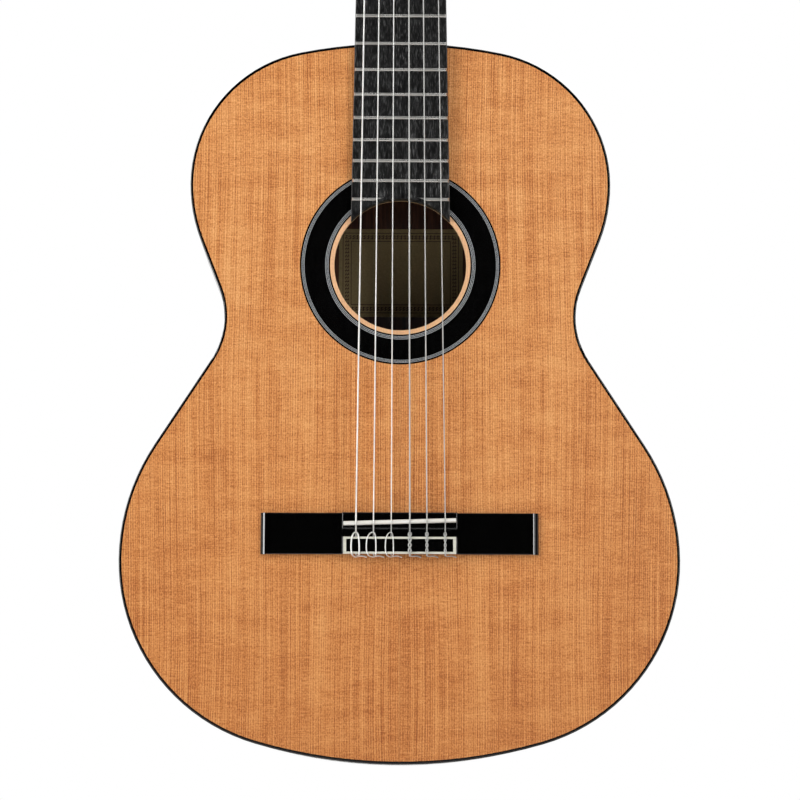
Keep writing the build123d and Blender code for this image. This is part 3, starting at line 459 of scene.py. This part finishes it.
def make_winding():
    """Silver-plated wire wound round the core of a bass string."""
    material, tree, shader = finish("silver_winding", Metallic=0.7, Roughness=0.36)
    turns = node(tree, "TexWave", {"Vector": place(tree), "Scale": 1150.0},
                 bands_direction="Z").outputs["Fac"]
    tarnish = noise(tree, place(tree, scale=(60, 60, 25)), detail=2)
    silver = ramp(tree, tarnish, [(0.3, (0.93, 0.925, 0.88)), (0.7, (0.98, 0.975, 0.95))])
    # painted shade: the colour is a little darker in the grooves between the turns
    groove_shade = ramp(tree, turns, [(0.0, 0.5), (0.4, 1.0)])
    colour_of(tree, shader, blend(tree, "MULTIPLY", 0.25, silver, groove_shade))
    relief(tree, shader, turns, 0.00006, 0.5)
    return material


def make_moulded(name, first, second, size, rough, coat):
    material, tree, shader = finish(name, Roughness=rough, Coat_Weight=coat, Coat_Roughness=0.06)
    shader.inputs["Subsurface Weight"].default_value = 0.08
    shader.inputs["Subsurface Scale"].default_value = 0.002
    cloud = noise(tree, place(tree, scale=(size, size, size * 0.6)), detail=4, distortion=1.6)
    colour_of(tree, shader, ramp(tree, cloud, [(0.35, first), (0.62, second)]))
    relief(tree, shader, cloud, 0.00002, 0.15)
    return material


nylon = make_nylon()
winding = make_winding()
roller_plastic = make_moulded("roller_plastic", (0.74, 0.71, 0.62), (0.80, 0.77, 0.69), 300, 0.35, 0.1)
pearloid = make_moulded("pearloid", (0.66, 0.62, 0.54), (0.90, 0.89, 0.85), 190, 0.15, 0.8)
print("strings and plastics:", nylon.name, winding.name, roller_plastic.name, pearloid.name)

# %% [markdown]
# ## Dress the pieces
# Every piece that keeps its shape from the frame gets its finish here. The names say which is which.

# %% Dress
dress = {
    "soundboard": cedar, "back_plate": rosewood_back,
    "rib_bass": rosewood_bent, "rib_treble": rosewood_bent,
    "top_binding": black_gloss, "back_binding": black_gloss, "end_graft": black_gloss,
    "linings": spruce, "tail_block": spruce, "harmonic_bars": spruce, "soundhole_patch": spruce,
    "fan_braces": spruce, "back_braces": spruce, "label": paper,
    "rosette_ring": black_ring, "rosette_mosaic": mosaic,
    "neck": mahogany, "headstock": mahogany_head, "heel_cap": rosewood, "head_veneer": rosewood_head,
    "fingerboard": ebony_board, "frets": nickel, "nut": bone, "saddle": bone, "tie_block_trim": bone_trim,
    "bridge": ebony_gloss, "tuner_plate_bass": brass, "tuner_plate_treble": brass, "plate_screws": brass,
}
for n in range(1, 7):
    dress[f"gear_{n}"] = brass
    dress[f"worm_{n}"] = brass
    dress[f"button_{n}"] = pearloid


def wear(piece, material):
    piece.data.materials.clear()
    piece.data.materials.append(material)


for name, material in dress.items():
    wear(parts[name], material)
print(len(dress), "pieces dressed")

# %% [markdown]
# ## Strings, tied and taut
# A string is one continuous wire, so it is drawn as one curve with a round section and then made a mesh. A
# NURBS curve of order 3 touches the middle of each leg between its control points. Two extra points close to
# a bend therefore keep the long runs straight and the bend tight, which is what a taut string does over a
# saddle.
#
# Behind the saddle the string dives through its hole in the tie block and comes back over the top. A stiff
# wound bass string makes one open loop. A slippery nylon treble is first twisted round itself
# one and a half times, and shows as a row of small beads. Each spare end lies along the rear edge of the
# bridge.

# %% Places along a string
string_diameters = [d * mm for d in (0.71, 0.82, 1.02, 0.74, 0.89, 1.09)]
span_saddle, span_nut = 59.0 * mm, 43.0 * mm
landings = [x * mm for x in (20.0, 15.5, 12.5, 12.5, 15.5, 20.0)]
roller_radius, roller_gap = 5.0 * mm, 0.3 * mm
landing_lean = radians(8.0)
hole_height, hole_mouth = 5.0 * mm, 0.9 * mm
nut_bearing, nut_height = 1.2 * mm, 8.4 * mm
saddle_half = 1.4 * mm
bend_length = 1.0 * mm
bridge_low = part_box("bridge")[0]
block_front, block_top = frame_high.z, -frame_low.y
barrels = {joint["name"]: Vector(joint["pos_m"]) for joint in frame["record"]["behaviour"]["joints"]
           if joint["name"].startswith("barrel")}
notch_shift = [x * mm for x in (0.8, 0.4, 0.8, 0.2, 0.2, 0.3)]


def string_x(n, span):
    """Where a string crosses: evenly spread at the nut, each in its own notch at the saddle."""
    even = span / 2 - span * n / 5
    return even + notch_shift[n] if span == span_saddle else even


def saddle_line(n):
    """Height along the neck of the saddle's middle under a string: the saddle slants a little."""
    slant = (saddle_high.z - saddle_low.z - 2 * saddle_half) / (saddle_high.x - saddle_low.x)
    return saddle_z + slant * string_x(n, span_saddle)


def landing(n):
    """Where the string's middle touches its roller."""
    axis = barrels[f"barrel_{n + 1}_turn"]
    reach = roller_radius + string_diameters[n] / 2 + roller_gap
    lean = head_lean - landing_lean
    side = 1 if n < 3 else -1
    return Vector((side * landings[n], axis.y - reach * cos(lean), axis.z + reach * sin(lean)))


print("string 1 lands", [round(v / mm, 2) for v in landing(0)])

# %% [markdown]
# ## The wire itself
# The curve is given a round section, closed at its ends, and is then turned into a mesh, as the strings are
# real solid pieces. A curve in few steps is enough for a coil, because its points already lie close.

# %% The wire
def wire(name, points, radius, steps=4):
    """A round wire along a smooth line through control points, as a mesh."""
    curve = bpy.data.curves.new(name, "CURVE")
    curve.dimensions = "3D"
    curve.bevel_depth = radius
    curve.bevel_resolution = 3
    curve.use_fill_caps = True
    curve.resolution_u = steps
    spline = curve.splines.new("NURBS")
    spline.points.add(len(points) - 1)
    for control, point in zip(spline.points, points):
        control.co = (*point, 1)
    spline.order_u = 3
    spline.use_endpoint_u = True
    piece = bpy.data.objects.new(name, curve)
    bpy.context.collection.objects.link(piece)
    bpy.ops.object.select_all(action="DESELECT")
    piece.select_set(True)
    bpy.context.view_layer.objects.active = piece
    bpy.ops.object.convert(target="MESH")
    bpy.ops.object.shade_smooth_by_angle(angle=radians(40))
    return bpy.context.object


def bends(points, tight):
    """Control points for straight runs with a tight bend at each inner point."""
    line = [points[0]]
    for before, corner, after in zip(points, points[1:], points[2:]):
        line += [corner + (before - corner).normalized() * tight, corner,
                 corner + (after - corner).normalized() * tight]
    return line + [points[-1]]


# %% [markdown]
# ## The taut run
# From its roller a string goes to the nut, over the saddle and down to the mouth of its hole. At the saddle
# it bends over a round crown. The corner point stands off the crown's middle in the direction that halves the
# bend, far enough for both straight runs to touch a circle of the crown's radius and the string's.

# %% The run from the roller to the mouth of the hole
def taut_run(n):
    radius = string_diameters[n] / 2
    x = string_x(n, span_saddle)
    nut = Vector((string_x(n, span_nut), -nut_height - radius, nut_low.z + nut_bearing))
    crown = Vector((x, saddle_crown + saddle_half, saddle_line(n)))
    mouth = Vector((x, -hole_height, block_front + hole_mouth))
    bearing = saddle_half + radius
    towards_nut, towards_mouth = nut - crown, mouth - crown
    rise_nut = atan2(-towards_nut.y, towards_nut.z) + acos(bearing / hypot(towards_nut.y, towards_nut.z))
    rise_mouth = atan2(-towards_mouth.y, towards_mouth.z) % (2 * pi) \
        - acos(bearing / hypot(towards_mouth.y, towards_mouth.z))
    middle, half = (rise_nut + rise_mouth) / 2, (rise_mouth - rise_nut) / 2
    ridge = crown + Vector((0, -sin(middle), cos(middle))) * (bearing / cos(half))
    return bends([landing(n), nut, ridge, mouth], bend_length)


print("taut run of string 1:", len(taut_run(0)), "control points")

# %% [markdown]
# ## The knots at the bridge
# A knot is written as rows of three distances in millimetres: across from the string's line, in front of the
# soundboard, and up the neck from the rear edge of the bridge. The bass loop comes up close on the right,
# crosses the taut string and goes back wide on the left. For a treble, two strands circle a common line half
# a turn apart.

# %% Knots
def bass_knot(n, left, right):
    wide = string_diameters[n] / mm
    top = block_top / mm + wide / 2
    low = hole_height / mm
    front = (block_front - bridge_low.z) / mm
    return [(0, low, front - 2), (0, low, 1), (0.1 * right, low, -1.0), (0.55 * right, low + 1.6, -1.6),
            (right, top + 0.1, -0.7), (right, top + 0.1, 2.0), (right, top, front * 0.5),
            (0.85 * right, top, front - 0.8), (0.62 * right, top - 0.8, front + 1.6),
            (0.28 * right, low + 2.1, front + 3.1), (0.30 * left, low + 2.1, front + 3.1),
            (0.62 * left, top - 0.8, front + 1.6), (0.90 * left, top, front - 0.8), (left, top, front * 0.5),
            (0.97 * left, top + 0.1, 2.0), (0.80 * left, top + 0.1, -0.6), (0.50 * left, low + 2.0, -1.7),
            (0, low - 0.5, -1.9), (1.5, low - 1.6, -1.3), (3.6, low - 2.2, -0.9), (5.4, low - 2.4, -1.2),
            (7.2, low - 2.0, -1.9)]


def treble_knot(n):
    wide = string_diameters[n] / mm
    low = hole_height / mm
    front = (block_front - bridge_low.z) / mm
    middle_height = block_top / mm + wide
    start, finish_at, twists, steps = 0.4, front - 0.2, 1.5, 8

    def strand(shift, forward):
        rows = []
        count = int(twists * steps)
        for k in range(count + 1):
            along = k / count
            angle = 2 * pi * twists * along + shift
            rows.append((wide * 0.85 * sin(angle), middle_height + wide * 0.52 * cos(angle),
                         start + (finish_at - start) * along))
        return rows if forward else rows[::-1]

    ring = 0.55 + wide * 0.5
    return ([(0, low, front - 2), (0, low, 1), (0, low, -1.1), (0, low + 2.0, -1.5),
             (0, middle_height, -1.0)]
            + strand(pi, True)
            + [(0.6 * ring, middle_height - 0.3, front + 0.6), (ring, low + 3.4, front + 1.9),
               (0.6 * ring, low + 2.0, front + 3.0), (-0.6 * ring, low + 2.0, front + 3.0),
               (-ring, low + 3.4, front + 1.9), (-0.6 * ring, middle_height - 0.2, front + 0.5)]
            + strand(0, False)
            + [(0.3, middle_height - 0.6, -0.8), (0.9, low + 1.2, -1.6), (2.4, low - 1.2, -1.2),
               (4.6, low - 2.0, -0.9), (6.2, low - 2.2, -1.3), (7.6, low - 1.8, -2.0)])


print("treble knot:", len(treble_knot(0)), "control points")

# %% [markdown]
# ## Six strings
# Each string is its taut run followed by its knot. It replaces the plain string of the frame. The three loops
# are tied by hand, so no two reach equally far: each has its own reach to the left and to the right.

# %% Make the strings
loop_shapes = {3: (-3.9, 1.5), 4: (-4.8, 1.7), 5: (-3.2, 2.3)}
for n in range(6):
    knot = bass_knot(n, *loop_shapes[n]) if n in loop_shapes else treble_knot(n)
    x = string_x(n, span_saddle)
    placed = [Vector((x + across * mm, -height * mm, bridge_low.z + along * mm))
              for across, height, along in knot]
    piece = wire(f"tied_string_{n + 1}", taut_run(n) + placed, string_diameters[n] / 2)
    wear(piece, winding if n in loop_shapes else nylon)
    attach(piece, "guitar")
    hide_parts(f"string_{n + 1}")
    print(piece.name, len(piece.data.polygons), "faces")

# %% [markdown]
# ## Rollers with the string wound on
# Each roller of the machines is one white moulding: a thick sleeve, and a thin spindle that goes through the
# plate to the cog. The sleeve starts as a cylinder, and a Bevel modifier rounds its rims. Then the outer end
# is inset and drawn out to the spindle, and the inner end gets a shallow dish. The rims come first, so that
# the spindle's root stays sharp: rounded, it would be wider than the bore of the plate just beside it.

# %% Sleeves
spindle_radius, sleeve_rim = 2.0 * mm, 0.25 * mm
sleeve_reach = 36.4 * mm
dish_rim, dish_depth = 1.2 * mm, 0.6 * mm


def select_faces(piece, test):
    """Select the faces whose middle and normal pass a test, in edit mode."""
    bpy.ops.mesh.select_all(action="DESELECT")
    bpy.ops.object.mode_set(mode="OBJECT")
    for face in piece.data.polygons:
        face.select = test(face.center, face.normal)
    bpy.ops.object.mode_set(mode="EDIT")
    bpy.ops.mesh.select_mode(type="FACE")


def make_sleeve(n):
    side = 1 if n < 3 else -1
    axis = barrels[f"barrel_{n + 1}_turn"]
    low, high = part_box(f"roller_{n + 1}")
    inner, outer = sorted((low.x, high.x), key=abs)
    sleeve_end = side * sleeve_reach
    middle_x = (inner + sleeve_end) / 2
    bpy.ops.object.select_all(action="DESELECT")
    bpy.ops.mesh.primitive_cylinder_add(vertices=48, radius=roller_radius, depth=abs(sleeve_end - inner),
                                        location=(middle_x, axis.y, axis.z), rotation=(0, pi / 2, 0))
    piece = bpy.context.object
    piece.name = f"roller_sleeve_{n + 1}"
    bpy.ops.object.transform_apply(location=True, rotation=True, scale=True)
    bevel = piece.modifiers.new("rim", "BEVEL")
    bevel.width, bevel.segments, bevel.angle_limit = sleeve_rim, 2, radians(50)
    bpy.ops.object.modifier_apply(modifier=bevel.name)
    bpy.ops.object.mode_set(mode="EDIT")
    select_faces(piece, lambda centre, normal: normal.x * side > 0.99)
    bpy.ops.mesh.inset(thickness=roller_radius - sleeve_rim - spindle_radius)
    bpy.ops.mesh.extrude_region_move(TRANSFORM_OT_translate={"value": (outer - sleeve_end, 0, 0)})
    select_faces(piece, lambda centre, normal: normal.x * side < -0.99)
    bpy.ops.mesh.inset(thickness=dish_rim - sleeve_rim)
    bpy.ops.mesh.extrude_region_move(TRANSFORM_OT_translate={"value": (side * dish_depth, 0, 0)})
    bpy.ops.object.mode_set(mode="OBJECT")
    bpy.ops.object.shade_smooth_by_angle(angle=radians(35))
    return piece


# %% [markdown]
# ## The cross hole and the turns
# A player puts the string's end through a hole across the roller, and winds the string on in a few close
# turns. The hole is cut with a Boolean modifier. The turns are a helix of wire, a separate piece because it
# is another material, and they turn with the roller. The hidden end in the hole is left out.
#
# The Boolean lists its faces in a different order each time it runs. Sorting them by their distance from a
# point that lies on no line of symmetry gives every run the same mesh.

# %% Cut the string's hole and wind the turns
hole_inset, string_hole_radius, drill_length = 6.0 * mm, 0.8 * mm, 12 * mm
turns_wound, steps_round = 3, 16
winding_bite, turn_spacing = 0.05 * mm, 1.02
sorting_point = (0.137, -0.211, 0.533)


def drill(piece, n):
    axis = barrels[f"barrel_{n + 1}_turn"]
    side = 1 if n < 3 else -1
    place_x = side * (landings[n] - hole_inset)
    bpy.ops.object.select_all(action="DESELECT")
    bpy.ops.mesh.primitive_cylinder_add(vertices=24, radius=string_hole_radius, depth=drill_length,
                                        location=(place_x, axis.y, axis.z),
                                        rotation=(pi / 2 + head_lean, 0, 0))
    tool = bpy.context.object
    bpy.ops.object.select_all(action="DESELECT")
    piece.select_set(True)
    bpy.context.view_layer.objects.active = piece
    cut = piece.modifiers.new("cross hole", "BOOLEAN")
    cut.operation, cut.solver, cut.object = "DIFFERENCE", "EXACT", tool
    bpy.ops.object.modifier_apply(modifier=cut.name)
    bpy.data.objects.remove(tool)
    bpy.ops.object.mode_set(mode="EDIT")
    bpy.ops.mesh.select_mode(type="FACE")
    bpy.ops.mesh.select_all(action="SELECT")
    bpy.context.scene.cursor.location = sorting_point
    bpy.ops.mesh.sort_elements(type="CURSOR_DISTANCE", elements={"EDGE", "FACE"})
    bpy.context.scene.cursor.location = (0, 0, 0)
    bpy.ops.object.mode_set(mode="OBJECT")


def wind(n):
    side = 1 if n < 3 else -1
    axis = barrels[f"barrel_{n + 1}_turn"]
    thick = string_diameters[n]
    reach = roller_radius + thick / 2 - winding_bite
    first = landings[n] - thick - roller_gap
    lean = head_lean - landing_lean
    points = []
    for k in range(turns_wound * steps_round + 1):
        angle = 2 * pi * k / steps_round
        across = first - max(0.0, min(turns_wound - 1.0, k / steps_round - 0.5)) * thick * turn_spacing
        points.append(Vector((side * across, axis.y - reach * cos(lean + angle),
                              axis.z + reach * sin(lean + angle))))
    return wire(f"string_turns_{n + 1}", points, thick / 2, steps=2)


for n in range(6):
    sleeve = make_sleeve(n)
    drill(sleeve, n)
    wear(sleeve, roller_plastic)
    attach(sleeve, f"barrel_{n + 1}")
    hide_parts(f"roller_{n + 1}")
    coil = wind(n)
    wear(coil, winding if n in loop_shapes else nylon)
    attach(coil, f"barrel_{n + 1}")
    print(sleeve.name, len(sleeve.data.polygons), "faces,", coil.name, len(coil.data.polygons), "faces")

# %% [markdown]
# ## The studio
# A gloss finish shows what stands round it, so the surround is part of the finish. It is white to the
# camera's own rays, and the guitar stands out against white without any more light falling on it. On the
# camera's side it is dark to reflections, so the flat black pieces stay black.

# %% World
def make_world(fill=0.5, behind=0.9):
    world = bpy.data.worlds.new("studio")
    world.use_nodes = True
    bpy.context.scene.world = world
    tree = world.node_tree
    tree.nodes.clear()
    ray = node(tree, "LightPath")
    towards = node(tree, "SeparateXYZ", {0: node(tree, "TexCoord").outputs["Generated"]})
    depth = towards.outputs[1]
    round_back = node(tree, "MapRange", {0: depth, 1: -0.62, 2: -0.20, 3: 0.0, 4: fill}).outputs[0]
    shine = node(tree, "MapRange", {0: depth, 1: -0.25, 2: 0.35, 3: 0.0, 4: behind}).outputs[0]
    seen = maths(tree, "MAXIMUM", ray.outputs["Is Camera Ray"], ray.outputs["Is Transmission Ray"])
    other = node(tree, "Mix", {0: ray.outputs["Is Glossy Ray"], 2: round_back, 3: shine}).outputs[0]
    strength = node(tree, "Mix", {0: seen, 2: other, 3: 1.0}).outputs[0]
    background = node(tree, "Background", {0: (1, 1, 1, 1), 1: strength})
    output = node(tree, "OutputWorld")
    tree.links.new(background.outputs[0], output.inputs[0])


make_world()
print("world:", bpy.context.scene.world.name)

# %% [markdown]
# ## The lamps
# Six soft lamps light the guitar. In front, the wide box on the left is the strongest, and a narrow strip
# with a weak wide box stands on the right. A broad one hangs high in front, and two stand behind for the
# back of the body. The narrow strip reaches through the soundhole and lights a part of the label.

# %% Lamps
lamp_target = Vector((0, 0.05, 0.42))


def softbox(name, azimuth, height, distance, size, power):
    """A tall soft lamp, at an azimuth in degrees from straight in front, to the right."""
    turn = radians(azimuth)
    position = Vector((distance * sin(turn), -distance * cos(turn), height))
    bpy.ops.object.light_add(type="AREA", location=position)
    lamp = bpy.context.object
    lamp.name = name
    lamp.data.shape = "RECTANGLE"
    lamp.data.size, lamp.data.size_y = size
    lamp.data.energy = power
    lamp.rotation_euler = (lamp_target - position).to_track_quat("-Z", "Y").to_euler()
    print(name, power, "W")


softbox("strip_right", 36, 0.80, 2.3, (0.40, 1.6), 18)
softbox("key_right", 54, 0.85, 2.3, (0.80, 1.7), 3)
softbox("key_left", -58, 0.85, 2.3, (0.90, 1.7), 36)
softbox("top_front", 0, 2.7, 1.5, (1.8, 0.7), 9)
softbox("back_left", -140, 1.5, 2.6, (1.2, 1.6), 22)
softbox("back_right", 135, 1.4, 2.6, (1.2, 1.6), 22)

# %% [markdown]
# ## The floor
# The floor is pale and plain. Near the guitar it takes its shadow, and farther out it runs into the white
# of the surround, so no horizon shows.

# %% Floor
floor_drop = 0.03
bpy.ops.object.select_all(action="DESELECT")
bpy.ops.mesh.primitive_plane_add(size=60, location=(0, 0, -floor_drop))
floor = bpy.context.object
floor.name = "floor"


def make_floor(near=0.30, far=0.97):
    material, tree, shader = finish("pale_floor", Roughness=0.85)
    ground = node(tree, "TexCoord").outputs["Object"]
    tone = noise(tree, place(tree, scale=(3, 3, 3)), detail=4)
    colour_of(tree, shader, ramp(tree, tone, [(0.3, 0.82), (0.7, 0.86)]))
    away = node(tree, "VectorMath", {0: ground}, operation="LENGTH").outputs["Value"]
    fade = node(tree, "MapRange", {0: away, 1: near, 2: far}, interpolation_type="SMOOTHSTEP").outputs[0]
    white = node(tree, "Emission", {0: (1, 1, 1, 1), 1: 1.0})
    amount = maths(tree, "MULTIPLY", fade, node(tree, "LightPath").outputs["Is Camera Ray"])
    mixed = node(tree, "MixShader", {0: amount, 1: shader.outputs[0], 2: white.outputs[0]})
    tree.links.new(mixed.outputs[0], tree.nodes["Material Output"].inputs[0])
    return material


wear(floor, make_floor())
print("floor", round(floor_drop / mm), "mm below the guitar's tail")

# %% [markdown]
# ## The camera
# The camera stands about two metres in front of the guitar, about level with its tail, with a long lens. It
# looks up the instrument by a little over 7 degrees, so the top of the neck runs out of the picture.

# %% Camera
camera_place = (-0.013263, -1.952422, -0.01)
pitch, yaw, roll = 0.129166, -0.006749, 0.003343
long_lens = 131.606

bpy.ops.object.camera_add()
camera = bpy.context.object
turn = Matrix.Rotation(pi / 2 + pitch, 4, "X") @ Matrix.Rotation(yaw, 4, "Y") @ Matrix.Rotation(roll, 4, "Z")
camera.matrix_world = Matrix.Translation(camera_place) @ turn
camera.data.lens = long_lens
camera.data.sensor_width = 36.0
bpy.context.scene.camera = camera
bpy.context.scene.view_settings.view_transform = "Standard"
print("camera at", camera_place, "with a lens of", long_lens, "mm")
